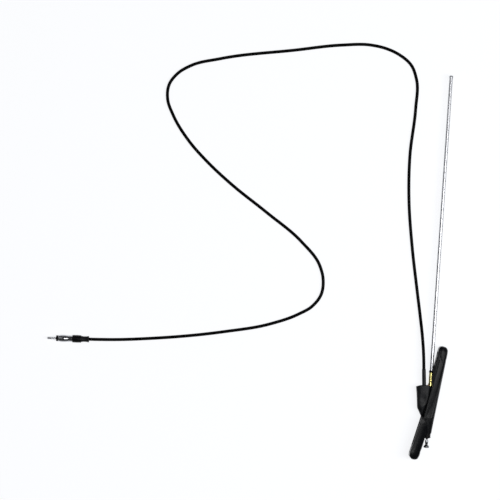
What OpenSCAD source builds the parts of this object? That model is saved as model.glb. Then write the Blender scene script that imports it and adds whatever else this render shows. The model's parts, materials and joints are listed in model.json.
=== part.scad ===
// Retractable car radio aerial for a windscreen pillar, lying on its side as it comes to rest.
// Origin: centre of the upper screw hole on the seat. +X leaves the seat outwards, +Y runs up
// the upper wing towards the far end of the mast tube, +Z is up from the table.

/* [Holder moulding] */
// Distance from the upper screw hole to the bend between the two wings
hole_to_bend = 75.6; // [70:0.2:82]
// Length of the upper wing beyond its screw hole
upper_overhang = 16; // [14:0.5:20]
// Distance from the bend to the lower screw hole
bend_to_lower_hole = 41.6; // [40:0.2:48]
// Length of the lower wing beyond its screw hole
lower_overhang = 12.2; // [11.5:0.1:16]
// Angle between the two wings, in degrees
bend_angle = 3.7; // [2.5:0.1:5]
// Height of the roof at the upper end
roof_h = 12.5; // [12:0.1:13.5]
// Rise of the roof towards the nose, in degrees
roof_rise = 2.75; // [2.4:0.05:3.2]
// Height of the lower wing
lower_h = 13; // [12.4:0.1:13.6]
// Width across the widest line of the side walls
body_w = 18; // [17.4:0.2:19.6]
// Height of the first crease on the side walls
crease_low = 4.8; // [4:0.1:5.4]
// Height of the second crease on the side walls
crease_high = 9.7; // [9.2:0.1:10]
// Wall thickness of the moulding
wall = 1.8; // [1.4:0.1:2.2]
// Diameter of the screw holes
screw_d = 4.2; // [3.6:0.1:4.6]
// Diameter of the pockets for the screw heads
head_d = 7; // [6.6:0.1:7.4]
// Thickness of material under a screw head
head_seat = 5; // [4:0.5:6]
// Thickness of the cross ribs
rib_t = 1.6; // [1.2:0.1:2]

/* [Mast] */
// Angle between the mast and the upper wing, in degrees
mast_angle = 10.5; // [9.8:0.1:11]
// Height of the mast axis above the seat at the mouth
mouth_h = 13.6; // [13.4:0.1:14]
// Distance from the bend down to the mouth
mouth_drop = 24.5; // [23:0.5:26]
// Outer diameter of the mast tube
tube_d = 4.5; // [4.3:0.1:4.8]
// Wall of the mast tube
tube_wall = 0.3; // [0.25:0.05:0.35]
// Length from the mouth to the far end of the mast tube
tube_reach = 453; // [440:1:480]
// Outer diameter of the middle section
middle_d = 3.3; // [3.2:0.05:3.4]
// Wall of the middle section
middle_wall = 0.3; // [0.25:0.05:0.35]
// Diameter of the tip rod
rod_d = 2.1; // [2:0.05:2.2]
// Radial clearance of each spring bush in its tube
bush_gap = 0.05; // [0.02:0.01:0.09]
// Radial clearance of each section in the lip that it passes through
lip_gap = 0.1; // [0.06:0.01:0.1]
// Length of the rolled lip at the mouth of a tube
lip_len = 0.9; // [0.7:0.1:1.2]
// Length of the spring bushes
bush_len = 11; // [8:1:14]
// How far the middle section stands out of the mouth when pushed in
middle_out = 1.7; // [1.4:0.1:2]

/* [Mouth grommet] */
// Length of the ribbed grommet outside the nose
grommet_len = 6; // [5:0.5:7]
// Outer diameter of the grommet
grommet_d = 8.1; // [7.8:0.1:8.4]
// Diameter of the grommet's spigot in the nose
spigot_d = 6.6; // [6.2:0.1:6.8]
// Length of the grommet's spigot in the nose
spigot_len = 5; // [4:0.5:6]

/* [Pull knob] */
// Diameter of the knob's bell
knob_d = 7; // [6.4:0.1:7.6]
// Diameter of the knob's stem
stem_d = 4; // [3.6:0.1:4.2]
// Length of the knob
knob_len = 9.8; // [9:0.1:11]

/* [Connection] */
// Outer diameter of the brass contact sleeve
sleeve_d = 5.1; // [5:0.1:5.3]
// Distance from the mouth to the sleeve's far end
sleeve_end = 82; // [79:0.5:84]
// Width of the insulating ring
ring_w = 2.6; // [2:0.1:3]
// Thickness of the solder lug
lug_t = 0.8; // [0.6:0.1:0.9]
// Length of the crimped ferrule on the lead
ferrule_len = 7; // [6:0.5:8]
// Wall of the crimped ferrule
ferrule_wall = 0.5; // [0.4:0.1:0.6]

/* [Boot] */
// Width of the boot's open mouth
boot_w = 19; // [18:0.5:20]
// Length of the boot
boot_len = 38.2; // [36:0.2:40]
// Depth of the boot across its flat sides
boot_depth = 11; // [10.4:0.2:11.6]
// Wall of the boot
boot_wall = 1.2; // [1:0.1:1.4]

/* [Lead] */
// Diameter of the lead
lead_d = 4; // [3.8:0.1:4]
// Diameter of the strain relief sleeve at its thick end
relief_d = 5; // [4.8:0.1:5.2]
// Length of the strain relief sleeve
relief_len = 25; // [22:0.5:26]

/* [Plug] */
// Length of the contact pin in front of the plug's barrel
pin_len = 11.6; // [11:0.1:12.5]
// Diameter of the contact pin
pin_d = 3.1; // [3:0.05:3.2]
// Diameter of the barrel at its widest
barrel_d = 9; // [8.6:0.1:9.2]
// Length of the barrel
barrel_len = 19; // [18:0.5:21]
// Wall of the barrel
barrel_wall = 0.7; // [0.6:0.05:0.8]
// Number of slits in the barrel
slit_n = 4; // [2:1:6]
// Diameter of the collar behind the barrel
collar_d = 9.4; // [9.2:0.1:9.4]
// Length of the collar
collar_len = 11; // [10:0.5:12]
// Diameter of the plug's cable boot
tail_d = 7.5; // [7:0.1:8]
// Length of the plug's cable boot
tail_len = 9.6; // [9:0.1:11]

/* [Hidden] */
$fn = 48;
eps = 0.01;

// Lengths of the two wings, from the bend
upper_len = hole_to_bend + upper_overhang;
lower_len = bend_to_lower_hole + lower_overhang;
half_w = body_w / 2;

// Radii along the mast
tube_r = tube_d / 2;
tube_bore = tube_r - tube_wall;
middle_r = middle_d / 2;
middle_bore = middle_r - middle_wall;
rod_r = rod_d / 2;
sleeve_r = sleeve_d / 2;
ring_r = sleeve_r + 0.35;

// Places along the mast, measured from the mouth
tube_from = 1.2;
bush_at = (mouth_drop + 12) / cos(mast_angle) - bush_len_nylon() / 2;
middle_len = tube_reach - 28;
middle_to = middle_len - middle_out;
rod_to = middle_to - 14;
knob_gap = 0.6;
knob_from = -middle_out - knob_gap;
cap_len = 3;
cap_wall = 0.35;
flange_seat = 0.3;

// Lead: direction and place of its end inside the boot
lead_angle = 15.2;
lead_r = lead_d / 2;
lead_end = [-2.7, -49.4];
lead_end_t = -(lead_end[0] - mouth_h) * sin(mast_angle)
    + (lead_end[1] + hole_to_bend + mouth_drop) * cos(mast_angle);
boot_angle = 14.4;
boot_mouth = [-5.25, -37.8];
relief_from = 8.5;

// Plug: its place and direction on the table
plug_at = [-426, -85.2, collar_d / 2 - half_w];
plug_angle = 12.5;

// Points on the lead's centre line, from its end in the boot to the plug
route = [
    [-2.7, -49.4, 0], [-7.4, -32.1, 0], [-11.4, -17.4, 0], [-15.6, -2, -0.2], [-22.5, 20, -2.7],
    [-32, 46, -6], [-43, 74.5, -7], [-63, 127, -7], [-81, 181.5, -7], [-94, 237, -7],
    [-101.5, 295, -7], [-109.5, 331, -7], [-120.5, 347, -7], [-137, 355.5, -7], [-156, 359.3, -7],
    [-175.5, 358.8, -7], [-211.5, 349.5, -7], [-265, 329.5, -7], [-354, 295.5, -7],
    [-387.5, 278, -7], [-401, 264.5, -7], [-408, 248, -7], [-405, 229.5, -7], [-394, 213, -7],
    [-367, 186.5, -7], [-336, 165.5, -7], [-302, 147, -7], [-250, 123.5, -7], [-199, 99, -7],
    [-169.5, 76, -7], [-160.5, 59, -7], [-158.5, 41, -7], [-166, 23.5, -7], [-180, 10, -7],
    [-212, -11, -7], [-264, -34, -7], [-353, -65.6, -7], [-393, -77.3, -6.6], [-416, -82.9, -4.4],
    [-431, -86.3, -4.3]
];
ring_step = 22;

function bush_len_nylon() = 10;

// Height of the roof line over the seat of the upper wing, at distance u above the bend
function roof(u) = roof_h + (upper_len - 7.4 - u) * tan(roof_rise);

// Blend from 0 to 1 as u runs from a to b
function blend(u, a, b) = let (s = min(1, max(0, (u - a) / (b - a)))) s * s * (3 - 2 * s);
function mix(a, b, s) = a + (b - a) * s;

// Half widths of the section: at the seat, at both creases and at the crown
function widths(u) = let (s = blend(u, -17, -2)) [
    mix(half_w, half_w - 0.8, s),
    mix(half_w - 0.7, half_w, s),
    mix(half_w - 2.8, half_w - 1.9, s),
    mix(half_w - 3.4, half_w - 2.5, s)];

// Height of the section at u: the upper wing's roof falls to the lower wing behind the nose
function height(u) = u > 0 ? roof(u) : mix(lower_h, roof(0), blend(u, -16, 0));

// One section [v, z] of the bar. v0 is its lowest edge, h its crown, k its share of full width,
// t the inset of the inner surface and base where that inner surface ends
function section(u, v0, h, k, t) = let (
    w = widths(u),
    q = (h - v0) / height(u),
    c = 0.8 * (h - v0 - crease_high * q),
    half = [
        [v0, w[0] * k - t],
        [v0 + crease_low * q, w[1] * k - t],
        [min(v0 + crease_high * q, h - t - c - 0.3), w[2] * k - t],
        for (a = [0:22.5:67.5]) [h - t - c + c * sin(a), (w[3] * k - t) * cos(a)]])
    concat(half, [[h - t, 0]], [for (i = [len(half) - 1:-1:0]) [half[i][0], -half[i][1]]]);

// Place a section of the bar in the plane frame whose origin is the bend
function turned(p, u) = let (a = u < 0 ? -bend_angle : 0)
    [p[0] * cos(a) - u * sin(a), p[0] * sin(a) + u * cos(a), p[1]];
function ring(u, v0, h, k, t) = [for (p = section(u, v0, h, k, t)) turned(p, u)];

// Rings of the bar from its lower to its upper end, with its surface set in by t
function bar_rings(t) = [
    for (e = [[0, 5, 4.7, 0.62], [0.3, 4.2, 3.8, 0.74], [1.3, 2.4, 1.9, 0.88], [2.8, 0.6, 0.8, 0.96],
            [6.5, 0, 0, 1]])
        ring(e[0] + t - lower_len, e[1], lower_h - e[2], e[3], t),
    for (u = [-40, -30, -20, -16, -12, -8, -4, -0.5, 0.5, 20, 45, 70]) ring(u, 0, height(u), 1, t),
    for (e = [[7.4, 0, 0, 1], [3.6, 0, 0.4, 0.97], [1.1, 1.4, 2, 0.87], [0.25, 3.2, 3.6, 0.72],
            [0, 4.4, 5, 0.6]])
        ring(upper_len - t - e[0], e[1], roof(upper_len - e[0]) - e[2], e[3], t)];

// Rings of the hollow under the bar, open at the seat
function hollow_rings() = [
    for (u = [7 - lower_len, -40, -30, -20, -16, -12, -8, -4, -0.5, 0.5, 20, 45, 70, upper_len - 8])
        [for (p = section(u, 0, height(u), 1, wall)) turned([p[0] > 0 ? p[0] : -1, p[1]], u)]];

// Solid through a list of rings with the same number of points
module loft(rings) {
    n = len(rings[0]);
    m = len(rings);
    points = [for (r = rings) each r];
    sides = [for (i = [0:m - 2], j = [0:n - 1])
        let (a = i * n + j, b = i * n + (j + 1) % n) each [[a, a + n, b + n], [a, b + n, b]]];
    polyhedron(points, concat(sides, [[for (j = [0:n - 1]) j]],
        [[for (j = [n - 1:-1:0]) (m - 1) * n + j]]));
}

// Frames: the bend, the lower wing, the mast from its mouth, the lead's end and the plug
module at_bend() {
    translate([0, -hole_to_bend, 0]) children();
}
module at_lower() {
    at_bend() rotate([0, 0, -bend_angle]) children();
}
module along_mast() {
    at_bend() translate([mouth_h, -mouth_drop, 0])
        rotate([0, 0, mast_angle]) rotate([-90, 0, 0]) children();
}
module along_lead() {
    translate([lead_end[0], lead_end[1], 0]) rotate([0, 0, lead_angle]) rotate([-90, 0, 0]) children();
}
module along_plug() {
    translate(plug_at) rotate([0, 0, 180 + plug_angle]) rotate([0, 90, 0]) children();
}

// Pipe and rod along the local axis
module pipe(r_out, r_in, from, to) {
    translate([0, 0, from]) difference() {
        cylinder(r = r_out, h = to - from);
        translate([0, 0, -1]) cylinder(r = r_in, h = to - from + 2);
    }
}
module rod(r, from, to) {
    translate([0, 0, from]) cylinder(r = r, h = to - from);
}

// Screw boss with its hole and head pocket, along +X from the seat
module boss(h) {
    rotate([0, 90, 0]) cylinder(d = head_d + 3, h = h);
}
module boss_hole() {
    rotate([0, 90, 0]) {
        translate([0, 0, -5]) cylinder(d = screw_d, h = 40);
        translate([0, 0, head_seat]) cylinder(d = head_d, h = 30);
    }
}

// Point [v, u] beside the mast axis: x outwards from the axis, t from the mouth
function mast_point(x, t) = [mouth_h - t * sin(mast_angle) + x * cos(mast_angle),
    t * cos(mast_angle) + x * sin(mast_angle) - mouth_drop];

// Web that carries the contact sleeve on the far side of the mast
module cradle() {
    low = mast_point(1.7, sleeve_end - 14.5);
    high = mast_point(1.7, sleeve_end + 4.4);
    at_bend() translate([0, 0, -2.6]) linear_extrude(5.2) polygon([low, high, high + [2.4, 1.2],
        [roof(high[1] + 6) - wall / 2, high[1] + 6], [roof(low[1] - 2) - wall / 2, low[1] - 2]]);
}

// Cross ribs and screw bosses inside the bar, ending in the middle of its wall
module ribs_and_bosses() {
    intersection() {
        at_bend() loft(bar_rings(wall / 2));
        union() {
            boss(20);
            at_lower() translate([0, -bend_to_lower_hole, 0]) boss(20);
            for (u = [12, 34, 62])
                at_bend() translate([0.8, u - rib_t / 2, -half_w]) cube([20, rib_t, body_w]);
            at_lower() translate([0.8, -24, -half_w]) cube([20, rib_t, body_w]);
        }
    }
}

module bezel() {
    color("#1d1e22") difference() {
        union() {
            difference() {
                union() {
                    at_bend() loft(bar_rings(0));
                    nose();
                }
                at_bend() loft(hollow_rings());
            }
            cradle();
            ribs_and_bosses();
        }
        boss_hole();
        at_lower() translate([0, -bend_to_lower_hole, 0]) boss_hole();
        along_mast() {
            rod(tube_r, grommet_len - 1, 44);
            rod(spigot_d / 2, grommet_len - 1, grommet_len + spigot_len);
            rod(bush_r(), bush_at, bush_at + bush_len_nylon());
            rod(sleeve_r, bush_at + bush_len_nylon() - 1, sleeve_end + 9);
            rod(ring_r, sleeve_end, sleeve_end + ring_w);
        }
        boot_room();
        side_marks();
        mouth_relief();
        relief_notch();
    }
}

function bush_r() = tube_r + 1.3;

// Nose over the mouth of the mast, blended from the bar's section at the bend
module nose() {
    hull() {
        at_bend() loft([ring(0.5, 2, height(0.5), 1, 0.1), ring(1.5, 2, height(1.5), 1, 0.1)]);
        along_mast() rod(nose_r(), grommet_len, grommet_len + 0.5, $fn = 32);
    }
}
function nose_r() = (roof(grommet_len - mouth_drop) - mouth_h + grommet_len * sin(mast_angle)) / cos(mast_angle);

// Room for the boot where it reaches into the hollow
module boot_room() {
    boot_shape(0.3);
}

// Seat of the grommet in front of the nose, running out in the roof of the lower wing
module mouth_relief() {
    along_mast() {
        rod(grommet_d / 2, 0, grommet_len + flange_seat);
        translate([0, 0, -8]) cylinder(r1 = grommet_d / 2 - 1.4, r2 = grommet_d / 2, h = 8.2);
    }
}

// Small round recesses in the side walls beside the screw bosses
module side_marks() {
    for (z = [-half_w - 0.2, half_w - 0.8 - 0.5]) {
        translate([4.5, 0, z]) cylinder(d = 2.6, h = 1.5);
        at_lower() translate([crease_low - 1.6, -bend_to_lower_hole, z]) rotate(bend_angle)
            cylinder(d = 2.6, h = 1.5);
    }
}

// Shallow relief in the skirt just below the bend
module relief_notch() {
    at_lower() translate([-1, -9.6, -half_w - 1]) cube([2.7, 8.8, body_w + 2]);
}

module mouth_grommet() {
    r = grommet_d / 2;
    color("#15161a") along_mast() difference() {
        union() {
            rod(r - 0.5, 0.4, grommet_len);
            rod(r, grommet_len - 0.8, grommet_len + flange_seat);
            translate([0, 0, 0]) cylinder(r1 = r - 0.9, r2 = r - 0.5, h = 0.4 + eps);
            for (i = [0:1]) rod(r, 0.6 + i * grommet_len / 3, 1.6 + i * grommet_len / 3);
            rod(spigot_d / 2, grommet_len, grommet_len + spigot_len);
        }
        rod(tube_r, tube_from, 40);
        rod(middle_r + 0.4, -1, 40);
    }
}

module guide_bush() {
    color("#d8d6cc") along_mast() pipe(bush_r(), tube_r, bush_at, bush_at + bush_len_nylon());
}

module mast_tube() {
    color("#e8eaee") along_mast() {
        pipe(tube_r, tube_bore, tube_from + lip_len, tube_reach);
        pipe(tube_r, middle_r + lip_gap, tube_from, tube_from + lip_len + eps);
    }
}

module tube_end_cap() {
    r = tube_r + cap_wall;
    color("#c9ccd2") along_mast() translate([0, 0, tube_reach - 2]) rotate_extrude()
        polygon(concat([[tube_r, 0], [r, 0]],
            [for (a = [0:15:90]) [r * cos(a), 2 + (cap_len - 2) * sin(a)]],
            [[0, 2], [tube_r, 2]]));
}

module contact_sleeve() {
    from = bush_at + bush_len_nylon();
    color("#c9b45e") along_mast() difference() {
        pipe(sleeve_r, tube_r, from, sleeve_end);
        translate([-sleeve_r - 1, -0.4, sleeve_end - 9]) cube([sleeve_r + 1, 0.8, 20]);
        translate([0, 0, sleeve_end - 11]) rotate([90, 0, 0]) cylinder(d = 1.6, h = 6);
    }
}

module insulating_ring() {
    color("#17181a") along_mast() pipe(ring_r, tube_r, sleeve_end, sleeve_end + ring_w);
}

// Lug: a strip along the sleeve with a tail folded over to the end of the lead
module solder_lug() {
    tail = lead_end_t - lead_r * sin(lead_angle - mast_angle) - 0.1 - lug_t;
    color("#8a4a34") along_mast() difference() {
        union() {
            translate([-sleeve_r - lug_t, -1.9, tail]) cube([sleeve_r + lug_t - 1.2, 3.8, 15]);
            translate([-9.2, -1.9, tail]) cube([9.2 - sleeve_r, 3.8, lug_t]);
        }
        rod(sleeve_r, 0, 90);
    }
}

module crimp_ferrule() {
    color("#b9bcc0") along_lead() pipe(lead_r + ferrule_wall, lead_r, 1, 1 + ferrule_len);
}

// Boot sections: half width left and right of the mouth's centre, and distance below the mouth
function boot_left(s) = s < 0.7 ? mix(boot_w / 2, boot_w / 2 - 0.5, s / 0.7)
    : mix(boot_w / 2 - 0.5, 5.6, (s - 0.7) / 0.3);
function boot_right(s) = s < 0.4 ? mix(boot_w / 2 - 0.5, boot_w / 2 - 1.8, s / 0.4)
    : mix(boot_w / 2 - 1.8, -3.8, (s - 0.4) / 0.6);
function boot_ring(s, t) = let (
    a = boot_left(s),
    b = boot_right(s),
    c = (b - a) / 2,
    w = (a + b) / 2 + t,
    d = (boot_depth / 2 + t) * (s < 0.5 ? 1 : 1 - 0.62 * blend(s, 0.5, 1.15)),
    n = 2.6)
    [for (i = [0:23]) let (g = i * 15)
        [c + w * sign(cos(g)) * pow(abs(cos(g)), 2 / n), -s * boot_len,
            d * sign(sin(g)) * pow(abs(sin(g)), 2 / n)]];
module boot_shape(t, top = 0) {
    translate([boot_mouth[0], boot_mouth[1], 0]) rotate([0, 0, boot_angle]) loft(concat(
        top > 0 ? [[for (p = boot_ring(0, t)) [p[0], top, p[2]]]] : [],
        [for (s = [0, 0.12, 0.25, 0.4, 0.55, 0.7, 0.82, 0.92, 1]) boot_ring(s, t)]));
}

module boot() {
    color("#2b2c30") difference() {
        boot_shape(0);
        intersection() {
            boot_shape(-boot_wall, 1);
            translate([boot_mouth[0], boot_mouth[1], 0]) rotate([0, 0, boot_angle])
                translate([-20, -boot_len * 0.9, -20]) cube([40, 60, 40]);
        }
        along_mast() {
            rod(sleeve_r, 0, 90);
            rod(bush_r() + 0.1, bush_at - 0.1, bush_at + bush_len_nylon() + 0.1);
        }
    }
}

module strain_relief() {
    r = relief_d / 2;
    color("#202125") along_lead() translate([0, 0, relief_from]) rotate_extrude()
        polygon([[lead_r, 0], [r, 0], [r, relief_len * 0.5], [r - 0.08, relief_len * 0.8],
            [r - 0.25, relief_len - 0.3], [lead_r + 0.1, relief_len], [lead_r, relief_len]]);
}

// Smooth line through the route's points, a step at a time: its direction at each point leans
// towards the shorter neighbour
function unit(v) = v / norm(v);
function lean(i) = let (a = route[i] - route[i - 1], b = route[i + 1] - route[i])
    unit(a / norm(a) * norm(b) + b / norm(b) * norm(a));
function way(i) = i == 0 ? unit(route[1] - route[0])
    : i == len(route) - 1 ? unit(route[i] - route[i - 1]) : lean(i);
function between(i, s) = let (l = norm(route[i + 1] - route[i]))
    (1 + 2 * s) * (1 - s) * (1 - s) * route[i] + s * (1 - s) * (1 - s) * l * way(i)
    + s * s * (3 - 2 * s) * route[i + 1] - s * s * (1 - s) * l * way(i + 1);
line = [for (i = [0:len(route) - 2])
    let (n = ceil(norm(route[i + 1] - route[i]) / ring_step)) for (j = [0:n - 1]) between(i, j / n),
    route[len(route) - 1]];

// Lead: an eight-sided tube swept along that line
function line_way(i) = unit(line[min(i + 1, len(line) - 1)] - line[max(i - 1, 0)]);
function lead_ring(i) = let (d = line_way(i), x = unit(cross(d, [0, 0, 1])), y = cross(x, d))
    [for (a = [22.5:45:360]) line[i] + lead_r * (cos(a) * x + sin(a) * y)];
module coax_lead() {
    color("#1b1c1f") loft([for (i = [len(line) - 1:-1:0]) lead_ring(i)]);
}

// Plug, from the lead's side to the pin
barrel_from = tail_len + collar_len;
pin_from = barrel_from + barrel_len;
core_r = pin_d / 2 - 0.4;
module plug_tail() {
    r = tail_d / 2;
    color("#1b1c20") along_plug() rotate_extrude() polygon([[lead_r, 0], [r + 0.1, 0], [r + 0.2, 0.8],
        [r, 1.8], [r - 0.3, 3], [r - 0.3, tail_len - 2.4], [r, tail_len - 1.2], [r, tail_len],
        [lead_r, tail_len]]);
}
module plug_collar() {
    r = collar_d / 2;
    color("#1b1c20") along_plug() translate([0, 0, tail_len]) rotate_extrude() polygon([[lead_r, 0],
        [r - 0.6, 0], [r, 0.6], [r, collar_len - 0.4], [r - 0.4, collar_len], [lead_r, collar_len]]);
}
module plug_barrel() {
    r = barrel_d / 2;
    f = r - 0.45;
    color("#d4d6da") along_plug() translate([0, 0, barrel_from]) difference() {
        rotate_extrude() polygon([[lead_r, 0], [f - 0.1, 0], [f, 0.6], [f, barrel_len * 0.3],
            [r - 0.05, barrel_len * 0.52], [r, barrel_len * 0.62], [f, barrel_len - 1.2],
            [f - 0.35, barrel_len], [f - 0.35 - barrel_wall, barrel_len],
            [f - barrel_wall, barrel_len - 1.4], [f - barrel_wall, 2], [lead_r, 2]]);
        for (i = [0:slit_n - 1]) rotate([0, 0, 45 + i * 360 / slit_n])
            translate([0, -0.35, barrel_len * 0.3]) cube([r + 1, 0.7, barrel_len * 0.6]);
    }
}
module plug_insulator() {
    f = barrel_d / 2 - 0.45 - barrel_wall;
    color("#141518") along_plug() difference() {
        union() {
            rod(f, barrel_from + 2, barrel_from + 5);
            rod(f - 0.7, barrel_from + 5 - eps, pin_from - 2 + eps);
            rod(f - 0.35, pin_from - 2, pin_from + 0.4);
            rod(f - 0.8, pin_from + 0.4 - eps, pin_from + 1.6);
        }
        rod(core_r, 0, 100);
    }
}
module plug_pin() {
    color("#dcdee2") along_plug() {
        rod(core_r, barrel_from + 3, pin_from + 1.6 + eps);
        rod(pin_d / 2, pin_from + 1.6, pin_from + pin_len - 0.8);
        translate([0, 0, pin_from + pin_len - 0.8 - eps]) cylinder(r1 = pin_d / 2, r2 = pin_d / 2 - 0.7, h = 0.8);
    }
}

module middle_tube() {
    color("#dfe1e6") along_mast() {
        pipe(middle_r, middle_bore, lip_len - middle_out, middle_to);
        pipe(middle_r, rod_r + lip_gap, -middle_out, lip_len - middle_out + eps);
    }
}
module middle_bush() {
    color("#b99a55") along_mast() pipe(tube_bore - bush_gap, middle_r, middle_to - bush_len, middle_to);
}
module tip_rod() {
    color("#dfe1e6") along_mast() rod(rod_r, knob_from, rod_to);
}
module tip_bush() {
    color("#b99a55") along_mast() pipe(middle_bore - bush_gap, rod_r, rod_to - bush_len, rod_to);
}
module pull_knob() {
    r = stem_d / 2;
    k = knob_d / 2;
    color("#d9dbe0") along_mast() mirror([0, 0, 1]) translate([0, 0, -knob_from]) difference() {
        rotate_extrude() polygon([[0, 0], [r - 0.3, 0], [r, 0.4], [r - 0.1, 4.6], [r - 0.35, 5],
            [r - 0.45, 5.5], [r - 0.1, 6], [k - 0.7, 6.9], [k - 0.15, 7.7], [k, 8.3],
            [k - 0.1, knob_len - 0.8], [k - 0.7, knob_len - 0.25], [k - 1.6, knob_len], [0, knob_len]]);
        translate([0, 0, -1]) cylinder(r = rod_r, h = 4);
    }
}

bezel();
mouth_grommet();
guide_bush();
mast_tube();
tube_end_cap();
contact_sleeve();
insulating_ring();
solder_lug();
crimp_ferrule();
boot();
strain_relief();
coax_lead();
plug_tail();
plug_collar();
plug_barrel();
plug_insulator();
plug_pin();
middle_tube();
middle_bush();
tip_rod();
tip_bush();
pull_knob();
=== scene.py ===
"""Retractable car radio aerial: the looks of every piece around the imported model."""

import json
import math

import bmesh
import bpy
from bpy.props import FloatProperty, FloatVectorProperty, PointerProperty
from mathutils import Matrix, Vector


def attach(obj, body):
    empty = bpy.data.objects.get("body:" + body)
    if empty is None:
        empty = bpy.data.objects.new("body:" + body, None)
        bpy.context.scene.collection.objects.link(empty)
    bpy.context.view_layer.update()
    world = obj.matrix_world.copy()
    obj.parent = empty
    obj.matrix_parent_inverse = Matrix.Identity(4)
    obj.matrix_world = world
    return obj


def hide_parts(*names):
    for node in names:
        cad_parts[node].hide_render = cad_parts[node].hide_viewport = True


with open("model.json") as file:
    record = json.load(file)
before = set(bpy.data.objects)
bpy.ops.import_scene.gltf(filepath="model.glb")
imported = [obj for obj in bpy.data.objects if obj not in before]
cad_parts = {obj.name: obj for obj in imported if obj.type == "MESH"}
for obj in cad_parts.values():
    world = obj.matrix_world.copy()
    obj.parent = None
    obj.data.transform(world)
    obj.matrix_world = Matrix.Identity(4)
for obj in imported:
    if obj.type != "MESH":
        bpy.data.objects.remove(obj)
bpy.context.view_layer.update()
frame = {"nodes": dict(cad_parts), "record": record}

bl_info = {
    "name": "Car radio aerial",
    "version": (1, 0, 0),
    "blender": (4, 5, 0),
    "location": "View3D > Sidebar > Aerial",
    "description": "Builds the visible pieces of a retractable aerial, its lead and its plug",
    "category": "Object",
}

MM = 0.001
NODES = frame["nodes"]

# Places in the part's frame, in millimetres, with their turns about Z in degrees: the bend of
# the holder, the mouth of the mast, the lead's end in the boot, the boot's mouth and the
# plug's cable side, and the height of the floor
BEND = (0, -75.6, 0)
BEND_ANGLE = -3.7
MOUTH = (13.6, -100.1, 0)
MAST_ANGLE = 10.5
LEAD_END = (-2.7, -49.4, 0)
LEAD_ANGLE = 15.2
BOOT_MOUTH = (-5.25, -37.8, 0)
BOOT_ANGLE = 14.4
PLUG = (-426, -85.2, -4.3)
PLUG_ANGLE = 12.5
FLOOR_Z = -9

# The holder's skirt, in millimetres over its seat: the relief below the bend, with its ends
# in the lower wing's frame, and the windows beside the boot and the sleeve, as the low and
# high corners of a box that is mirrored across the middle plane
SEAT_EDGE = 0.03
RELIEF_HEIGHT = 1.7
RELIEF_ENDS = (-9.7, -0.7)
WINDOW_LOW = (-3, -75.3, 2.8)
WINDOW_HIGH = (3.5, -27.5, 10)
WINDOW_HEIGHT_AT_BEND = 2.7

# Vertices closer than this are one, in millimetres
MERGE = 1e-4

# Half side of the floor and height of the lead's centre line where it lies on it, in metres
FLOOR_HALF_SIDE = 4.0
LEAD_REST_Z = -0.007

# Centre line of the lead, in metres, from its end in the boot to the plug
ROUTE = [
    (-0.0027, -0.0494, 0), (-0.0074, -0.0321, 0), (-0.0114, -0.0174, 0),
    (-0.0156, -0.002, -0.0002), (-0.0225, 0.02, -0.0027), (-0.032, 0.046, -0.006),
    (-0.043, 0.0745, -0.007), (-0.063, 0.127, -0.007), (-0.081, 0.1815, -0.007),
    (-0.094, 0.237, -0.007), (-0.1015, 0.295, -0.007), (-0.1095, 0.331, -0.007),
    (-0.1205, 0.347, -0.007), (-0.137, 0.3555, -0.007), (-0.156, 0.3593, -0.007),
    (-0.1755, 0.3588, -0.007), (-0.2115, 0.3495, -0.007), (-0.265, 0.3295, -0.007),
    (-0.354, 0.2955, -0.007), (-0.3875, 0.278, -0.007), (-0.401, 0.2645, -0.007),
    (-0.408, 0.248, -0.007), (-0.405, 0.2295, -0.007), (-0.394, 0.213, -0.007),
    (-0.367, 0.1865, -0.007), (-0.336, 0.1655, -0.007), (-0.302, 0.147, -0.007),
    (-0.25, 0.1235, -0.007), (-0.199, 0.099, -0.007), (-0.1695, 0.076, -0.007),
    (-0.1605, 0.059, -0.007), (-0.1585, 0.041, -0.007), (-0.166, 0.0235, -0.007),
    (-0.18, 0.01, -0.007), (-0.212, -0.011, -0.007), (-0.264, -0.034, -0.007),
    (-0.353, -0.0656, -0.007), (-0.393, -0.0773, -0.0066), (-0.416, -0.0829, -0.0044),
    (-0.431, -0.0863, -0.0043),
]


# Materials

def linear(hex_colour):
    """An sRGB hex colour as the linear RGBA that a shader socket takes."""
    parts = [int(hex_colour[i:i + 2], 16) / 255 for i in (1, 3, 5)]
    return [c / 12.92 if c <= 0.04045 else ((c + 0.055) / 1.055) ** 2.4 for c in parts] + [1.0]


def add(tree, kind, settings=None, links=None):
    """Add a node, set its sockets and properties, and link outputs into its inputs."""
    made = tree.nodes.new(kind)
    for key, value in (settings or {}).items():
        if isinstance(key, int) or key in made.inputs:
            made.inputs[key].default_value = value
        else:
            setattr(made, key, value)
    for key, output in (links or {}).items():
        tree.links.new(output, made.inputs[key])
    return made


def surface(name, shader):
    """A material with one Principled shader, its colour and finish set on the sockets."""
    made = bpy.data.materials.new(name)
    made.use_nodes = True
    tree = made.node_tree
    tree.nodes.clear()
    principled = add(tree, "ShaderNodeBsdfPrincipled", shader)
    out = add(tree, "ShaderNodeOutputMaterial")
    tree.links.new(principled.outputs[0], out.inputs["Surface"])
    made.diffuse_color = shader["Base Color"]
    return made, tree, principled


def object_noise(tree, grain_mm, detail):
    """Noise on Object coordinates whose features are about grain_mm across."""
    place = add(tree, "ShaderNodeTexCoord")
    return add(tree, "ShaderNodeTexNoise",
               {"Scale": 1 / (grain_mm * MM), "Detail": detail, "Roughness": 0.55},
               {"Vector": place.outputs["Object"]})


def ramp(tree, source, low, high, from_low=0.3, from_high=0.7):
    """Map a value to the range from low to high. Noise lies mostly between 0.3 and 0.7."""
    return add(tree, "ShaderNodeMapRange",
               {"From Min": from_low, "From Max": from_high, "To Min": low, "To Max": high},
               {"Value": source}).outputs["Result"]


def shaded(colour, share):
    """A linear RGBA colour made darker or lighter by a share."""
    return [min(1.0, c * share) for c in colour[:3]] + [1.0]


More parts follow.
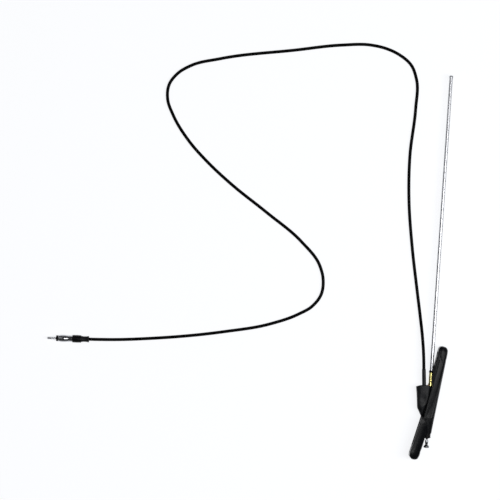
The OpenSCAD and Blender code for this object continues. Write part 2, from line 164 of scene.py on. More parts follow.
def tint(tree, principled, factor, colour, dark, light):
    """Vary the base colour between a darker and a lighter share of it."""
    mix = add(tree, "ShaderNodeMix", {"data_type": "RGBA", 6: shaded(colour, dark),
                                      7: shaded(colour, light)}, {"Factor": factor})
    tree.links.new(mix.outputs[2], principled.inputs["Base Color"])


def bump(tree, principled, height, depth_mm, strength):
    """Raise the surface by a height map whose full range is depth_mm."""
    made = add(tree, "ShaderNodeBump", {"Strength": strength, "Distance": depth_mm * MM},
               {"Height": height})
    tree.links.new(made.outputs[0], principled.inputs["Normal"])


def moulded_abs(colour):
    """ABS, injection moulded: near black, satin, with a fine spark-eroded grain and a faint
    greying where it was handled."""
    made, tree, shader = surface("moulded_black_ABS", {
        "Base Color": colour, "Roughness": 0.3, "IOR": 1.5, "Specular IOR Level": 0.13})
    # Spark grain is about 0.08 mm across, drawn at 0.35 mm so that it shows
    grain = object_noise(tree, 0.35, 4.0)
    wear = object_noise(tree, 9.0, 5.0)
    tint(tree, shader, ramp(tree, wear.outputs["Fac"], 0.0, 1.0), colour, 0.85, 1.2)
    tree.links.new(ramp(tree, wear.outputs["Fac"], 0.24, 0.29), shader.inputs["Roughness"])
    bump(tree, shader, grain.outputs["Fac"], 0.02, 0.12)
    return made


def dipped_pvc(colour):
    """Plasticised PVC, dip moulded: black with a soft sheen, slightly uneven and dusty."""
    made, tree, shader = surface("dipped_black_PVC", {
        "Base Color": colour, "Roughness": 0.42, "IOR": 1.52, "Specular IOR Level": 0.18})
    skin = object_noise(tree, 1.6, 4.0)
    dust = object_noise(tree, 6.0, 6.0)
    tint(tree, shader, ramp(tree, dust.outputs["Fac"], 0.0, 1.0), colour, 0.65, 1.5)
    tree.links.new(ramp(tree, dust.outputs["Fac"], 0.34, 0.5), shader.inputs["Roughness"])
    bump(tree, shader, skin.outputs["Fac"], 0.06, 0.4)
    return made


def extruded_pvc(colour):
    """PVC cable jacket, extruded: smooth and glossy along the lead with faint drag marks."""
    made, tree, shader = surface("extruded_PVC_jacket", {
        "Base Color": colour, "Roughness": 0.3, "IOR": 1.52, "Specular IOR Level": 0.03})
    drag = object_noise(tree, 3.0, 3.0)
    tint(tree, shader, ramp(tree, drag.outputs["Fac"], 0.0, 1.0), colour, 0.7, 1.4)
    tree.links.new(ramp(tree, drag.outputs["Fac"], 0.22, 0.34), shader.inputs["Roughness"])
    bump(tree, shader, drag.outputs["Fac"], 0.03, 0.3)
    return made


def nylon(name, colour, rough):
    """Polyamide, moulded: semi-matt, with a fine flow mottle."""
    made, tree, shader = surface(name, {"Base Color": colour, "Roughness": rough, "IOR": 1.53,
                                         "Specular IOR Level": 0.15})
    flow = object_noise(tree, 1.2, 4.0)
    tint(tree, shader, ramp(tree, flow.outputs["Fac"], 0.0, 1.0), colour, 0.75, 1.15)
    bump(tree, shader, flow.outputs["Fac"], 0.02, 0.3)
    return made


def plated(name, colour, rough_low, rough_high, grain_mm):
    """Bright plating on turned or drawn metal: mirror-like, with faint clouding left by the
    polishing."""
    made, tree, shader = surface(name, {
        "Base Color": linear(colour), "Metallic": 1.0, "Roughness": rough_low})
    cloud = object_noise(tree, grain_mm, 4.0)
    tree.links.new(ramp(tree, cloud.outputs["Fac"], rough_low, rough_high),
                   shader.inputs["Roughness"])
    bump(tree, shader, cloud.outputs["Fac"], 0.004, 0.2)
    return made


def drawn_brass(name, colour):
    """Brass, drawn and handled: warm yellow with darker, duller patches of tarnish."""
    made, tree, shader = surface(name, {
        "Base Color": colour, "Metallic": 1.0, "Roughness": 0.25})
    tarnish_and_painted_shade = object_noise(tree, 2.2, 6.0)
    tint(tree, shader, ramp(tree, tarnish_and_painted_shade.outputs["Fac"], 0.0, 1.0), colour, 0.6, 1.25)
    tree.links.new(ramp(tree, tarnish_and_painted_shade.outputs["Fac"], 0.3, 0.16), shader.inputs["Roughness"])
    bump(tree, shader, tarnish_and_painted_shade.outputs["Fac"], 0.01, 0.3)
    return made


def soldered_copper():
    """Copper strip, soldered: dull red-brown with dark flux stain."""
    colour = linear("#8f4d38")
    made, tree, shader = surface("soldered_copper", {
        "Base Color": colour, "Metallic": 1.0, "Roughness": 0.45})
    stain = object_noise(tree, 1.5, 6.0)
    tint(tree, shader, ramp(tree, stain.outputs["Fac"], 0.0, 1.0), colour, 0.3, 1.3)
    bump(tree, shader, stain.outputs["Fac"], 0.02, 0.4)
    return made


def soft_solder():
    """Tin-lead solder, cooled in air: grey, rounded and slightly frosted."""
    made, tree, shader = surface("soft_solder", {
        "Base Color": linear("#9a9c9f"), "Metallic": 1.0, "Roughness": 0.35})
    frost = object_noise(tree, 0.5, 5.0)
    tree.links.new(ramp(tree, frost.outputs["Fac"], 0.25, 0.5), shader.inputs["Roughness"])
    bump(tree, shader, frost.outputs["Fac"], 0.03, 0.4)
    return made


MATERIALS = {}


def make_materials(look):
    """One material for each finish of the real object, and a dark brass that paints shade."""
    MATERIALS.update({
        "black_abs": moulded_abs(look.holder_colour),
        "black_rubber": nylon("moulded_black_rubber", linear("#0b0b0d"), 0.55),
        "white_nylon": nylon("natural_nylon", linear("#d8d5ca"), 0.45),
        "black_nylon": nylon("moulded_black_nylon", linear("#0b0c0e"), 0.35),
        "plated_steel": plated("satin_plated_tube", "#d0d1d5", 0.32, 0.42, 1.5),
        "brass": drawn_brass("drawn_brass", look.brass_colour),
        # Dark brass that paints the shade at the bottom of the sleeve's punched hole
        "tarnish_and_painted_shade": drawn_brass("brass_painted_shade", linear("#4d4220")),
        "copper": soldered_copper(),
        "black_pvc": dipped_pvc(look.boot_colour),
        "lead_jacket": extruded_pvc(look.lead_colour),
        # Chromium reflects just over half of the light, which is why its shadows look dark
        "chrome": plated("bright_chrome", "#c6c7ca", 0.05, 0.1, 1.0),
        # Nickel on turned zinc, a little dulled: it shows its surroundings dark
        "nickel": plated("nickel_plated_knob", "#7f8185", 0.08, 0.14, 1.0),
        "solder": soft_solder(),
    })


# Mesh helpers

def frame_at(place, turn, tilt=0, axis="X"):
    """A frame at a place, turned about Z and then tilted about its own axis, in degrees."""
    return (Matrix.Translation(Vector(place)) @ Matrix.Rotation(math.radians(turn), 4, "Z")
            @ Matrix.Rotation(math.radians(tilt), 4, axis))


def mast_frame():
    """Local Z runs from the mouth along the mast tube, X outwards."""
    return frame_at(MOUTH, MAST_ANGLE, -90)


def lead_frame():
    """Local Z runs from the lead's end out of the boot."""
    return frame_at(LEAD_END, LEAD_ANGLE, -90)


def plug_frame():
    """Local Z runs from the lead through the plug to its pin."""
    return frame_at(PLUG, 180 + PLUG_ANGLE, 90, "Y")


def finish_piece(name, bm, material, body, stands_for=(), smooth=30):
    """Turn a bmesh in millimetres, in the part's frame, into a piece that rides on a body.
    Edges that turn by less than smooth degrees are shaded round."""
    bmesh.ops.remove_doubles(bm, verts=bm.verts, dist=MERGE)
    bmesh.ops.recalc_face_normals(bm, faces=bm.faces)
    bmesh.ops.scale(bm, vec=(MM, MM, MM), verts=bm.verts)
    mesh = bpy.data.meshes.new(name)
    bm.to_mesh(mesh)
    bm.free()
    mesh.materials.append(MATERIALS[material])
    piece = bpy.data.objects.new(name, mesh)
    bpy.context.scene.collection.objects.link(piece)
    mesh.shade_smooth()
    mesh.set_sharp_from_angle(angle=math.radians(smooth))
    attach(piece, body)
    if stands_for:
        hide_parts(*stands_for)
    return piece


def turned(profile, matrix, segments=64, closed=True):
    """Spin a profile of (radius, height) points round local Z."""
    bm = bmesh.new()
    points = [bm.verts.new((r, 0, z)) for r, z in profile]
    edges = [bm.edges.new(pair) for pair in zip(points, points[1:])]
    if closed:
        edges.append(bm.edges.new((points[-1], points[0])))
    bmesh.ops.spin(bm, geom=points + edges, cent=(0, 0, 0), axis=(0, 0, 1),
                   angle=math.tau, steps=segments, use_merge=True)
    bmesh.ops.remove_doubles(bm, verts=bm.verts, dist=MERGE)
    bmesh.ops.dissolve_degenerate(bm, edges=bm.edges, dist=MERGE / 10)
    bmesh.ops.transform(bm, matrix=matrix, verts=bm.verts)
    return bm


def round_edges(piece, width_mm, segments, angle):
    """Round the edges that turn by more than an angle in degrees."""
    edge = piece.modifiers.new("rounded edges", "BEVEL")
    edge.width = width_mm * MM
    edge.segments = segments
    edge.limit_method = "ANGLE"
    edge.angle_limit = math.radians(angle)
    return edge


def thicken(piece, thickness):
    """Give an open surface a wall on its inner side, in metres."""
    wall = piece.modifiers.new("wall", "SOLIDIFY")
    wall.thickness = thickness
    wall.offset = -1


def arc(radius, centre, start, end, steps):
    """Points (radius, height) on an arc, angles in degrees from the local X axis."""
    turns = [math.radians(start + (end - start) * i / steps) for i in range(steps + 1)]
    return [(centre[0] + radius * math.cos(a), centre[1] + radius * math.sin(a)) for a in turns]


def close_relief(bm):
    """Bring the relief below the bend down to the seat, where the skirt runs on."""
    into_wing = frame_at(BEND, BEND_ANGLE).inverted()
    near = 0.02
    for v in bm.verts:
        place = into_wing @ v.co
        on_relief = abs(place.x - RELIEF_HEIGHT) < near
        if on_relief and RELIEF_ENDS[0] < place.y < RELIEF_ENDS[1]:
            v.co = into_wing.inverted() @ Vector((SEAT_EDGE, place.y, place.z))


def cut_windows(bm):
    """Open the skirt on both sides where the boot and the brass sleeve lie in it."""
    low, high = Vector(WINDOW_LOW), Vector(WINDOW_HIGH)
    middle = (high + low) / 2
    knife = bmesh.new()
    for side in (1, -1):
        box = bmesh.ops.create_cube(knife, size=1.0)["verts"]
        for v in box:
            v.co = middle + v.co * (high - low)
            if v.co.x > middle.x and v.co.y < middle.y:
                v.co.x = WINDOW_HEIGHT_AT_BEND
            v.co.z *= side
    bmesh.ops.recalc_face_normals(knife, faces=knife.faces)
    scratch = []
    for name, source in (("skirt_whole", bm), ("window_knife", knife)):
        mesh = bpy.data.meshes.new(name)
        source.to_mesh(mesh)
        scratch.append(bpy.data.objects.new(name, mesh))
        bpy.context.scene.collection.objects.link(scratch[-1])
    knife.free()
    cut = scratch[0].modifiers.new("windows", "BOOLEAN")
    cut.operation = "DIFFERENCE"
    cut.solver = "EXACT"
    cut.object = scratch[1]
    ready = scratch[0].evaluated_get(bpy.context.evaluated_depsgraph_get())
    bm.clear()
    bm.from_mesh(ready.to_mesh())
    ready.to_mesh_clear()
    for item in scratch:
        bpy.data.meshes.remove(item.data)


def trim_skirt(bm):
    """Bring the edge of the holder's skirt to the line that the real one has."""
    close_relief(bm)
    cut_windows(bm)


def softened_copy(node, name, material, body, width_mm, shape=None):
    """A merged copy of a CAD node with its edges rounded, in place of the node."""
    bm = bmesh.new()
    bm.from_mesh(NODES[node].data)
    bmesh.ops.scale(bm, vec=(1 / MM,) * 3, verts=bm.verts)
    # The node's loose triangles are joined, and flat faces become one
    bmesh.ops.remove_doubles(bm, verts=bm.verts, dist=20 * MERGE)
    if shape:
        shape(bm)
    bmesh.ops.dissolve_limit(bm, angle_limit=math.radians(0.8), verts=bm.verts, edges=bm.edges)
    piece = finish_piece(name, bm, material, body, (node,), smooth=40)
    round_edges(piece, width_mm, 3, 25).harden_normals = True


# The pieces

def length_setting(name, description, default):
    """A length in metres that the user can change."""
    return FloatProperty(name=name, description=description, default=default, unit="LENGTH",
                         precision=5)


def colour_setting(name, description, default):
    """A colour that the user can change, given as an sRGB hex value."""
    return FloatVectorProperty(name=name, description=description, default=linear(default),
                               size=4, min=0, max=1, subtype="COLOR")


class AerialLook(bpy.types.PropertyGroup):
    """Colours of the aerial"""
    holder_colour: colour_setting("Holder", "Colour of the moulded holder", "#0d0e11")
    boot_colour: colour_setting("Boot", "Colour of the soft boot", "#141518")
    lead_colour: colour_setting("Lead", "Colour of the lead's jacket", "#050506")
    brass_colour: colour_setting("Sleeve", "Colour of the brass contact sleeve", "#f2df8c")


class AerialSizes(bpy.types.PropertyGroup):
    """Sizes of the visible pieces"""
    tube_diameter: length_setting("Tube", "Outer diameter of the mast tube", 0.0045)
    tube_reach: length_setting("Tube reach", "From the mouth to the tube's far end", 0.453)
    lead_diameter: length_setting("Lead", "Diameter of the lead", 0.004)
    knob_diameter: length_setting("Knob", "Diameter of the pull knob's bell", 0.007)
    knob_length: length_setting("Knob length", "Length of the pull knob", 0.0098)
    grommet_diameter: length_setting("Grommet", "Diameter of the ribbed grommet", 0.0081)
    barrel_diameter: length_setting("Plug barrel", "Widest diameter of the plug's barrel", 0.009)
    pin_diameter: length_setting("Plug pin", "Diameter of the plug's pin", 0.0031)
    collar_diameter: length_setting("Plug collar", "Diameter of the plug's black collar", 0.0094)
    boot_wall: length_setting("Boot wall", "Wall thickness of the soft boot", 0.0011)


class StageSetup(bpy.types.PropertyGroup):
    """Camera, lights and floor"""
    camera_height: length_setting("Camera height", "Height of the camera above the part", 3.0)
    frame_width: length_setting("Frame width", "Width of the view at the part", 0.6243)
    camera_turn: FloatProperty(
        name="Camera turn", description="Turn of the camera about the vertical",
        default=math.radians(14.36), subtype="ANGLE")
    aim: FloatVectorProperty(
        name="Aim", description="Point under the middle of the view", size=2,
        default=(-0.2586, 0.0728), unit="LENGTH")
    floor_colour: colour_setting("Floor", "Colour of the floor", "#f4f5f7")
    floor_glow: FloatProperty(
        name="Floor glow", description="Light that the translucent floor gives off",
        default=0.92, min=0)


class AERIAL_OT_stage(bpy.types.Operator):
    """Set up the camera above the part, the pale light table and the soft lights"""
    bl_idname = "aerial.stage"
    bl_label = "Stage"

    def execute(self, context):
        setup = context.scene.aerial_stage
        scene = context.scene
        scene.view_settings.view_transform = "Standard"
        camera = bpy.data.objects.new("camera", bpy.data.cameras.new("camera"))
        scene.collection.objects.link(camera)
        sensor = 36
        camera.data.sensor_width = sensor
        camera.data.lens = sensor * setup.camera_height / setup.frame_width
        camera.location = (setup.aim[0], setup.aim[1], setup.camera_height)
        camera.rotation_euler = (0, 0, setup.camera_turn)
        scene.camera = camera
        self.floor(scene, setup)
        self.sky(scene)
        # Place and size of each softbox in metres, and its radiance
        self.softbox(scene, "key", (0.72, 0.1, 2.0), (0.75, 2.4), 5.6)
        self.softbox(scene, "fill", (-1.6, 0.4, 1.7), (0.5, 2.0), 0.7)
        return {"FINISHED"}

    def floor(self, scene, setup):
        """The light table under the part."""
        bm = bmesh.new()
        bmesh.ops.create_grid(bm, x_segments=1, y_segments=1, size=FLOOR_HALF_SIDE)
        bmesh.ops.translate(bm, vec=(setup.aim[0], setup.aim[1], FLOOR_Z * MM), verts=bm.verts)
        mesh = bpy.data.meshes.new("floor")
        bm.to_mesh(mesh)
        bm.free()
        floor = bpy.data.objects.new("floor", mesh)
        scene.collection.objects.link(floor)
        # Opal acrylic light table, matt: pale and lit a little from below
        acrylic, tree, shader = surface("opal_acrylic", {
            "Base Color": shaded(setup.floor_colour, 0.3), "Roughness": 0.9,
            "Specular IOR Level": 0.1,
            "Emission Color": setup.floor_colour, "Emission Strength": setup.floor_glow})
        texture = object_noise(tree, 2.0, 3.0)
        bump(tree, shader, texture.outputs["Fac"], 0.01, 0.1)
        mesh.materials.append(acrylic)

    def sky(self, scene):
        """Studio walls: pale near the floor, dim overhead."""
        world = bpy.data.worlds.new("studio")
        world.use_nodes = True
        tree = world.node_tree
        back = tree.nodes["Background"]
        place = add(tree, "ShaderNodeTexCoord")
        split = add(tree, "ShaderNodeSeparateXYZ", None, {0: place.outputs["Generated"]})
        wall, ceiling = 0.3, 0.06
        level = ramp(tree, split.outputs["Z"], wall, ceiling, 0.02, 0.3)
        tree.links.new(level, back.inputs["Strength"])
        back.inputs["Color"].default_value = linear("#f4f6fa")
        scene.world = world

    def softbox(self, scene, name, place, size, radiance):
        """A rectangular area light aimed at the holder, unseen by the camera."""
        data = bpy.data.lights.new(name, "AREA")
        data.shape = "RECTANGLE"
        data.size, data.size_y = size
        data.energy = radiance * math.pi * size[0] * size[1]
        lamp = bpy.data.objects.new(name, data)
        scene.collection.objects.link(lamp)
        lamp.location = place
        lamp.rotation_euler = (-Vector(place)).to_track_quat("-Z", "Y").to_euler()
        lamp.visible_camera = False


def smooth_line(points, step):
    """A smooth line through the route's points that stays at the lead's rest height or over."""
    points = [Vector(p) for p in points]
    last = len(points) - 1

    def way(i):
        if i == 0:
            return (points[1] - points[0]).normalized()
        if i == last:
            return (points[i] - points[i - 1]).normalized()
        before, after = points[i] - points[i - 1], points[i + 1] - points[i]
        mean = before.normalized() * after.length + after.normalized() * before.length
        return mean.normalized()

    line = []
    for i in range(last):
        length = (points[i + 1] - points[i]).length
        count = math.ceil(length / step)
        for j in range(count):
            s = j / count
            place = ((1 + 2 * s) * (1 - s) ** 2 * points[i]
                     + s * (1 - s) ** 2 * length * way(i)
                     + s * s * (3 - 2 * s) * points[i + 1]
                     - s * s * (1 - s) * length * way(i + 1))
            place.z = max(place.z, LEAD_REST_Z)
            line.append(place)
    line.append(points[last])
    return line


class AERIAL_OT_lead(bpy.types.Operator):
    """Lay the coaxial lead along its route"""
    bl_idname = "aerial.lead"
    bl_label = "Lead"

    def execute(self, context):
        sizes = context.scene.aerial_sizes
        step = 0.003
        line = smooth_line(ROUTE, step)
        curve = bpy.data.curves.new("lead", "CURVE")
        curve.dimensions = "3D"
        curve.bevel_depth = sizes.lead_diameter / 2
        curve.bevel_resolution = 6
        curve.use_fill_caps = True
        spline = curve.splines.new("POLY")
        spline.points.add(len(line) - 1)
        for point, place in zip(spline.points, line):
            point.co = (*place, 1)
        curve.materials.append(MATERIALS["lead_jacket"])
        lead = bpy.data.objects.new("lead", curve)
        context.scene.collection.objects.link(lead)
        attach(lead, "holder")
        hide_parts("coax_lead")
        return {"FINISHED"}


class AERIAL_OT_holder(bpy.types.Operator):
    """Finish the moulded holder and turn the grommet at its mouth"""
    bl_idname = "aerial.holder"
    bl_label = "Holder"

    def execute(self, context):
        sizes = context.scene.aerial_sizes
        softened_copy("bezel", "holder_moulding", "black_abs", "holder", 0.35,
                      shape=trim_skirt)
        r = sizes.grommet_diameter / MM / 2
        ribs = []
        for z in (0.7, 2.4, 4.1):
            ribs += [(r, z), (r + 0.4, z + 0.1), (r + 0.45, z + 0.3), (r + 0.45, z + 0.75),
                     (r + 0.4, z + 0.95), (r, z + 1.05)]
        profile = ([(2.1, 0.3), (2.3, 0.05), (r - 1.1, 0), (r - 0.7, 0.12), (r - 0.5, 0.4)] + ribs
                   + [(r - 0.45, 5.3), (r, 5.4), (r, 6.3), (3.3, 6.3), (3.3, 11), (2.25, 11),
                      (2.25, 1.2), (2.1, 1.2)])
        bm = turned(profile, mast_frame())
        finish_piece("grommet", bm, "black_rubber", "holder", ("mouth_grommet",))
        return {"FINISHED"}


class AERIAL_OT_mast(bpy.types.Operator):
    """Turn the mast tube with its end cap, the middle section's tube and the pull knob"""
    bl_idname = "aerial.mast"
    bl_label = "Mast"

    def execute(self, context):
        sizes = context.scene.aerial_sizes
        r = sizes.tube_diameter / MM / 2
        reach = sizes.tube_reach / MM
        matrix = mast_frame()
        tube = [(1.75, 1.2), (r - 0.12, 1.2), (r, 1.32), (r, reach - 2), (r, reach),
                (r - 0.3, reach), (r - 0.3, 2.1), (1.75, 2.1)]
        finish_piece("mast_outer_tube", turned(tube, matrix), "plated_steel",
                     "holder", ("mast_tube",))
        wide = r + 0.35
        dome_height = 1.0
        cap = ([(r, reach - 2), (r + 0.3, reach - 2), (wide, reach - 1.9), (wide, reach - 1.55),
                (r + 0.22, reach - 1.45), (r + 0.22, reach - 1.2), (wide, reach - 1.1)]
               + arc(wide, (0, reach), 0, 90, 10) + [(0, reach + 0.05), (r, reach + 0.05)])
        # The quarter circle is pressed flat to the height of the dome
        cap = [(x, z if z <= reach else reach + (z - reach) * dome_height / wide) for x, z in cap]
        finish_piece("mast_end_cap", turned(cap, matrix), "plated_steel",
                     "holder", ("tube_end_cap",))
        middle_end = 422.2
        middle = [(1.15, -1.7), (1.35, -1.7), (1.55, -1.6), (1.65, -1.35), (1.65, middle_end),
                  (1.35, middle_end), (1.35, -0.8), (1.15, -0.8)]
        finish_piece("mast_middle_tube", turned(middle, matrix, 48), "chrome",
                     "middle_section", ("middle_tube",))
        k = sizes.knob_diameter / MM / 2
        n = sizes.knob_length / MM
        knob = [(0, 0.02), (1.35, 0), (1.75, 0.12), (1.98, 0.42), (2.0, 0.9), (1.93, 4.3),
                (1.86, 4.7), (1.62, 5.05), (1.56, 5.3), (1.6, 5.55), (1.85, 5.95), (2.5, 6.5),
                (k - 0.5, 7.1), (k - 0.12, 7.75), (k, 8.3), (k - 0.02, n - 1.0),
                (k - 0.14, n - 0.6), (k - 0.45, n - 0.28), (k - 1.1, n - 0.08),
                (k - 2.0, n - 0.01), (0, n)]
        # The knob points out of the mouth, against the mast's line, and its foot stands clear
        foot = 2.3
        turn = matrix @ Matrix.Scale(-1, 4, Vector((0, 0, 1))) @ Matrix.Translation((0, 0, foot))
        finish_piece("knob", turned(knob, turn, closed=False), "nickel",
                     "tip_section", ("pull_knob",))
        return {"FINISHED"}


class AERIAL_OT_connection(bpy.types.Operator):
    """Make the brass sleeve, its ring, lug and solder, the boot and the strain relief"""
    bl_idname = "aerial.connection"
    bl_label = "Connection"

    def execute(self, context):
        sizes = context.scene.aerial_sizes
        softened_copy("contact_sleeve", "brass_contact_sleeve", "brass", "holder", 0.08)
        softened_copy("insulating_ring", "tube_insulating_ring", "black_nylon",
                      "holder", 0.2)
        softened_copy("solder_lug", "copper_lug", "copper", "holder", 0.12)
        self.dimple()
        self.solder()
        self.boot(sizes)
        relief = [(2.0, 8.5), (2.5, 8.5), (2.5, 20), (2.47, 26), (2.42, 31.5), (2.36, 32.6),
                  (2.2, 33.3), (2.02, 33.5)]
        finish_piece("lead_strain_relief", turned(relief, lead_frame(), 48), "black_pvc",
                     "holder", ("strain_relief",))
        return {"FINISHED"}

    def dimple(self):
        """Painted shade: a dark brass cup at the bottom of the punched hole in the sleeve."""
        hole = (0, -2.28, 71)
        turn = (mast_frame() @ Matrix.Translation(hole)
                @ Matrix.Rotation(math.radians(90), 4, "X"))
        cup = [(0, 0), (0.5, 0.02), (0.74, 0.1), (0.79, 0.2)]
        finish_piece("painted_shade_in_sleeve_hole", turned(cup, turn, 24, closed=False), "tarnish_and_painted_shade",
                     "holder")

    def solder(self):
        """A bead of solder over the lug's end and one round the lead's core."""
        # Place in the mast's frame and half sizes of each bead
        for name, place, size in (("solder_on_sleeve", (-2.75, 0, 66.5), (0.75, 1.5, 1.9)),
                                  ("solder_on_core", (-8.0, 0, 52.3), (1.3, 1.4, 0.8))):
            bm = bmesh.new()
            bmesh.ops.create_uvsphere(bm, u_segments=24, v_segments=16, radius=1.0)
            for v in bm.verts:
                v.co *= 1 + 0.06 * math.sin(5 * v.co.x + 3 * v.co.y) * math.cos(4 * v.co.z)
            bmesh.ops.scale(bm, vec=size, verts=bm.verts)
            bmesh.ops.transform(bm, matrix=mast_frame() @ Matrix.Translation(place),
                                verts=bm.verts)
            finish_piece(name, bm, "solder", "holder")

    def mound(self, p, q, middle, spread):
        """A smooth mound of height one, across and below the boot's mouth."""
        return math.exp(-((p - middle[0]) / spread[0]) ** 2
                        - ((q - middle[1]) / spread[1]) ** 2)

    def boot(self, sizes):
        """A flattened cup: rings extruded from its open mouth down to its closed tip."""
        bm = bmesh.new()
        ring = bmesh.ops.create_circle(bm, segments=32, radius=1.0, cap_ends=False)["verts"]
        edges = bm.edges[:]
        around = {v: (v.co.x, v.co.y) for v in ring}
        # Distance below the mouth, left and right edges, half depth
        stations = [(0, -10.6, 9.3, 5.6), (0.5, -10.75, 9.4, 5.75), (1.6, -10.65, 9.3, 5.6),
                    (4.5, -10.35, 8.9, 5.45), (9, -10.05, 8.5, 5.5), (14, -9.85, 8.0, 5.55),
                    (19, -9.7, 6.1, 5.5), (23, -9.6, 3.9, 5.2), (25.5, -9.55, 2.4, 4.8),
                    (27, -9.35, 1.6, 4.6), (28.5, -8.7, 0.9, 4.4), (32, -7.0, -0.9, 3.8),
                    (35, -5.7, -2.3, 3.0), (38.0, -4.7, -3.5, 1.6)]
        # Power that squares the round ring
        squaring = 0.77
        for i, (q, left, right, depth) in enumerate(stations):
            if i:
                grown = bmesh.ops.extrude_edge_only(bm, edges=edges)["geom"]
                edges = [g for g in grown if isinstance(g, bmesh.types.BMEdge)]
                fresh = [g for g in grown if isinstance(g, bmesh.types.BMVert)]
                # Each fresh vertex starts where the one it grew from is
                known = {tuple(round(c, 4) for c in v.co): around[v] for v in ring}
                around = {v: known[tuple(round(c, 4) for c in v.co)] for v in fresh}
                ring = fresh
            for v, (x, y) in around.items():
                wide = math.copysign(abs(x) ** squaring, x)
                deep = math.copysign(abs(y) ** squaring, y)
                v.co = ((left + right) / 2 + wide * (right - left) / 2, -q, deep * depth)
        bmesh.ops.contextual_create(bm, geom=edges)
        lip_rise, lip_half_width, lip_depth = 1.5, 9.5, 9
        for v in bm.verts:
            # The flat side is pressed in below its middle, as the soft wall has sunk, and the
            # mouth's lip rises towards its middle
            p, q = v.co.x, -v.co.y
            dent = self.mound(p, q, (-1.8, 16.9), (4.0, 4.5))
            ridge = self.mound(p, q, (-4.5, 24.5), (3.0, 3.0))
            v.co.z += (0.35 * ridge - 1.7 * dent) if v.co.z > 0 else 0.8 * dent
            v.co.y += (lip_rise * max(0.0, 1 - (p / lip_half_width) ** 2)
                       * max(0.0, 1 - q / lip_depth))
        bmesh.ops.transform(bm, matrix=frame_at(BOOT_MOUTH, BOOT_ANGLE), verts=bm.verts)
        piece = finish_piece("boot_cover", bm, "black_pvc", "holder", ("boot",),
                             smooth=180)
        thicken(piece, sizes.boot_wall)
        fine = piece.modifiers.new("smooth", "SUBSURF")
        fine.levels = fine.render_levels = 2


class AERIAL_OT_plug(bpy.types.Operator):
    """Turn the plug: two black sleeves, the slotted barrel, the insulator and the pin"""
    bl_idname = "aerial.plug"
    bl_label = "Plug"

    def execute(self, context):
        sizes = context.scene.aerial_sizes
        matrix = plug_frame()
        tail = [(2.0, 0), (3.85, 0), (3.95, 0.3), (3.92, 0.9), (3.75, 1.8), (3.5, 2.8),
                (3.42, 4.5), (3.42, 7.2), (3.6, 8.0), (3.75, 8.5), (3.75, 9.6), (2.0, 9.6)]
        finish_piece("plug_cable_boot", turned(tail, matrix), "black_pvc",
                     "holder", ("plug_tail",))
        c = sizes.collar_diameter / MM / 2
        collar = [(2.0, 9.6), (c - 0.7, 9.6), (c - 0.25, 9.75), (c, 10.2), (c, 10.9),
                  (c - 0.15, 11.05), (c - 0.15, 11.5), (c, 11.65), (c, 12.4), (c - 0.15, 12.55),
                  (c - 0.15, 13.0), (c, 13.15), (c, 20.1), (c - 0.12, 20.45), (c - 0.4, 20.6),
                  (2.0, 20.6)]
        finish_piece("plug_black_collar", turned(collar, matrix), "black_nylon",
                     "holder", ("plug_collar",))
        self.barrel(sizes, matrix)
        disc = [(1.1, 22.6), (3.3, 22.6), (3.3, 25.0), (2.6, 25.2), (2.6, 37.6), (3.45, 37.8),
                (3.62, 38.0), (3.66, 38.4), (3.66, 40.4), (3.5, 40.8), (3.1, 41.0), (1.8, 41.2),
                (1.1, 41.2)]
        finish_piece("plug_black_insulator", turned(disc, matrix), "black_nylon",
                     "holder", ("plug_insulator",))
        n = sizes.pin_diameter / MM / 2
        pin = [(0, 23.6), (1.05, 23.6), (1.05, 41.2), (n - 0.08, 41.2), (n, 41.35), (n, 50.9),
               (n - 0.1, 51.35), (n - 0.35, 51.8), (n - 0.8, 52.15), (0, 52.2)]
        finish_piece("plug_centre_pin", turned(pin, matrix, 48, closed=False), "plated_steel",
                     "holder", ("plug_pin",))
        return {"FINISHED"}

    def barrel(self, sizes, matrix):
        """Thin slotted tube: bulged so that it springs in the socket."""
        r = sizes.barrel_diameter / MM / 2
        profile = [(r - 0.7, 20.6), (r - 0.47, 20.75), (r - 0.45, 21.3), (r - 0.45, 26.3),
                   (r - 0.3, 28.0), (r - 0.1, 30.0), (r, 32.0), (r - 0.08, 33.8),
                   (r - 0.28, 35.6), (r - 0.45, 37.0), (r - 0.5, 37.6), (r - 0.75, 38.2)]
        slot_from, slot_to, steps, slots = 26.3, 37.0, 80, 4
        bm = turned(profile, Matrix.Identity(4), steps, closed=False)
        quarter = math.tau / slots
        # A slot is one face wide on each side of its middle
        narrow = math.tau / steps * 1.01
        cut = []
        for face in bm.faces:
            centre = face.calc_center_median()
            turn = (math.atan2(centre.y, centre.x) + math.radians(45)) % quarter
            if slot_from < centre.z < slot_to and min(turn, quarter - turn) < narrow:
                cut.append(face)
        bmesh.ops.delete(bm, geom=cut, context="FACES")
        bmesh.ops.transform(bm, matrix=matrix, verts=bm.verts)
        piece = finish_piece("plug_slotted_barrel", bm, "chrome", "holder",
                             ("plug_barrel",))
        thicken(piece, 0.7 * MM)
        round_edges(piece, 0.08, 2, 40)


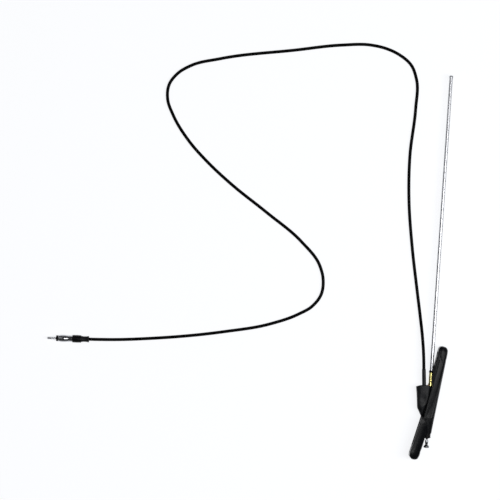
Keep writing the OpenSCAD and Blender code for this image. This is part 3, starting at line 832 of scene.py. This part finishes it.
class AERIAL_OT_dress_nodes(bpy.types.Operator):
    """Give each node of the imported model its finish"""
    bl_idname = "aerial.dress_nodes"
    bl_label = "Finishes"

    def execute(self, context):
        slots = {s["node"]: s["material_slot"] for s in frame["record"]["subparts"]}
        for name, piece in NODES.items():
            piece.data.materials.clear()
            piece.data.materials.append(MATERIALS[slots[name]])
            piece.data.shade_smooth()
            piece.data.set_sharp_from_angle(angle=math.radians(30))
        return {"FINISHED"}


class AERIAL_OT_declare_lead(bpy.types.Operator):
    """An empty step that changes nothing in the scene"""
    bl_idname = "aerial.declare_lead"
    bl_label = "Declare lead"

    def execute(self, context):
        return {"FINISHED"}


class AERIAL_PT_panel(bpy.types.Panel):
    """Sizes, colours and steps of the aerial"""
    bl_idname = "AERIAL_PT_panel"
    bl_label = "Car radio aerial"
    bl_space_type = "VIEW_3D"
    bl_region_type = "UI"
    bl_category = "Aerial"

    def draw(self, context):
        layout = self.layout
        for group in (context.scene.aerial_sizes, context.scene.aerial_look,
                      context.scene.aerial_stage):
            box = layout.box()
            for name in group.__annotations__:
                box.prop(group, name)
        for step in STEPS:
            layout.operator(step.bl_idname)


STEPS = (AERIAL_OT_stage, AERIAL_OT_lead, AERIAL_OT_holder, AERIAL_OT_mast,
         AERIAL_OT_connection, AERIAL_OT_plug, AERIAL_OT_dress_nodes, AERIAL_OT_declare_lead)
CLASSES = (AerialLook, AerialSizes, StageSetup, *STEPS, AERIAL_PT_panel)


def register():
    for item in CLASSES:
        bpy.utils.register_class(item)
    bpy.types.Scene.aerial_look = PointerProperty(type=AerialLook)
    bpy.types.Scene.aerial_sizes = PointerProperty(type=AerialSizes)
    bpy.types.Scene.aerial_stage = PointerProperty(type=StageSetup)


def unregister():
    del bpy.types.Scene.aerial_stage
    del bpy.types.Scene.aerial_sizes
    del bpy.types.Scene.aerial_look
    for item in reversed(CLASSES):
        bpy.utils.unregister_class(item)


def main():
    register()
    make_materials(bpy.context.scene.aerial_look)
    bpy.ops.aerial.stage()
    bpy.ops.aerial.lead()
    bpy.ops.aerial.holder()
    bpy.ops.aerial.mast()
    bpy.ops.aerial.connection()
    bpy.ops.aerial.plug()
    bpy.ops.aerial.dress_nodes()
    bpy.ops.aerial.declare_lead()


if __name__ == "__main__":
    main()
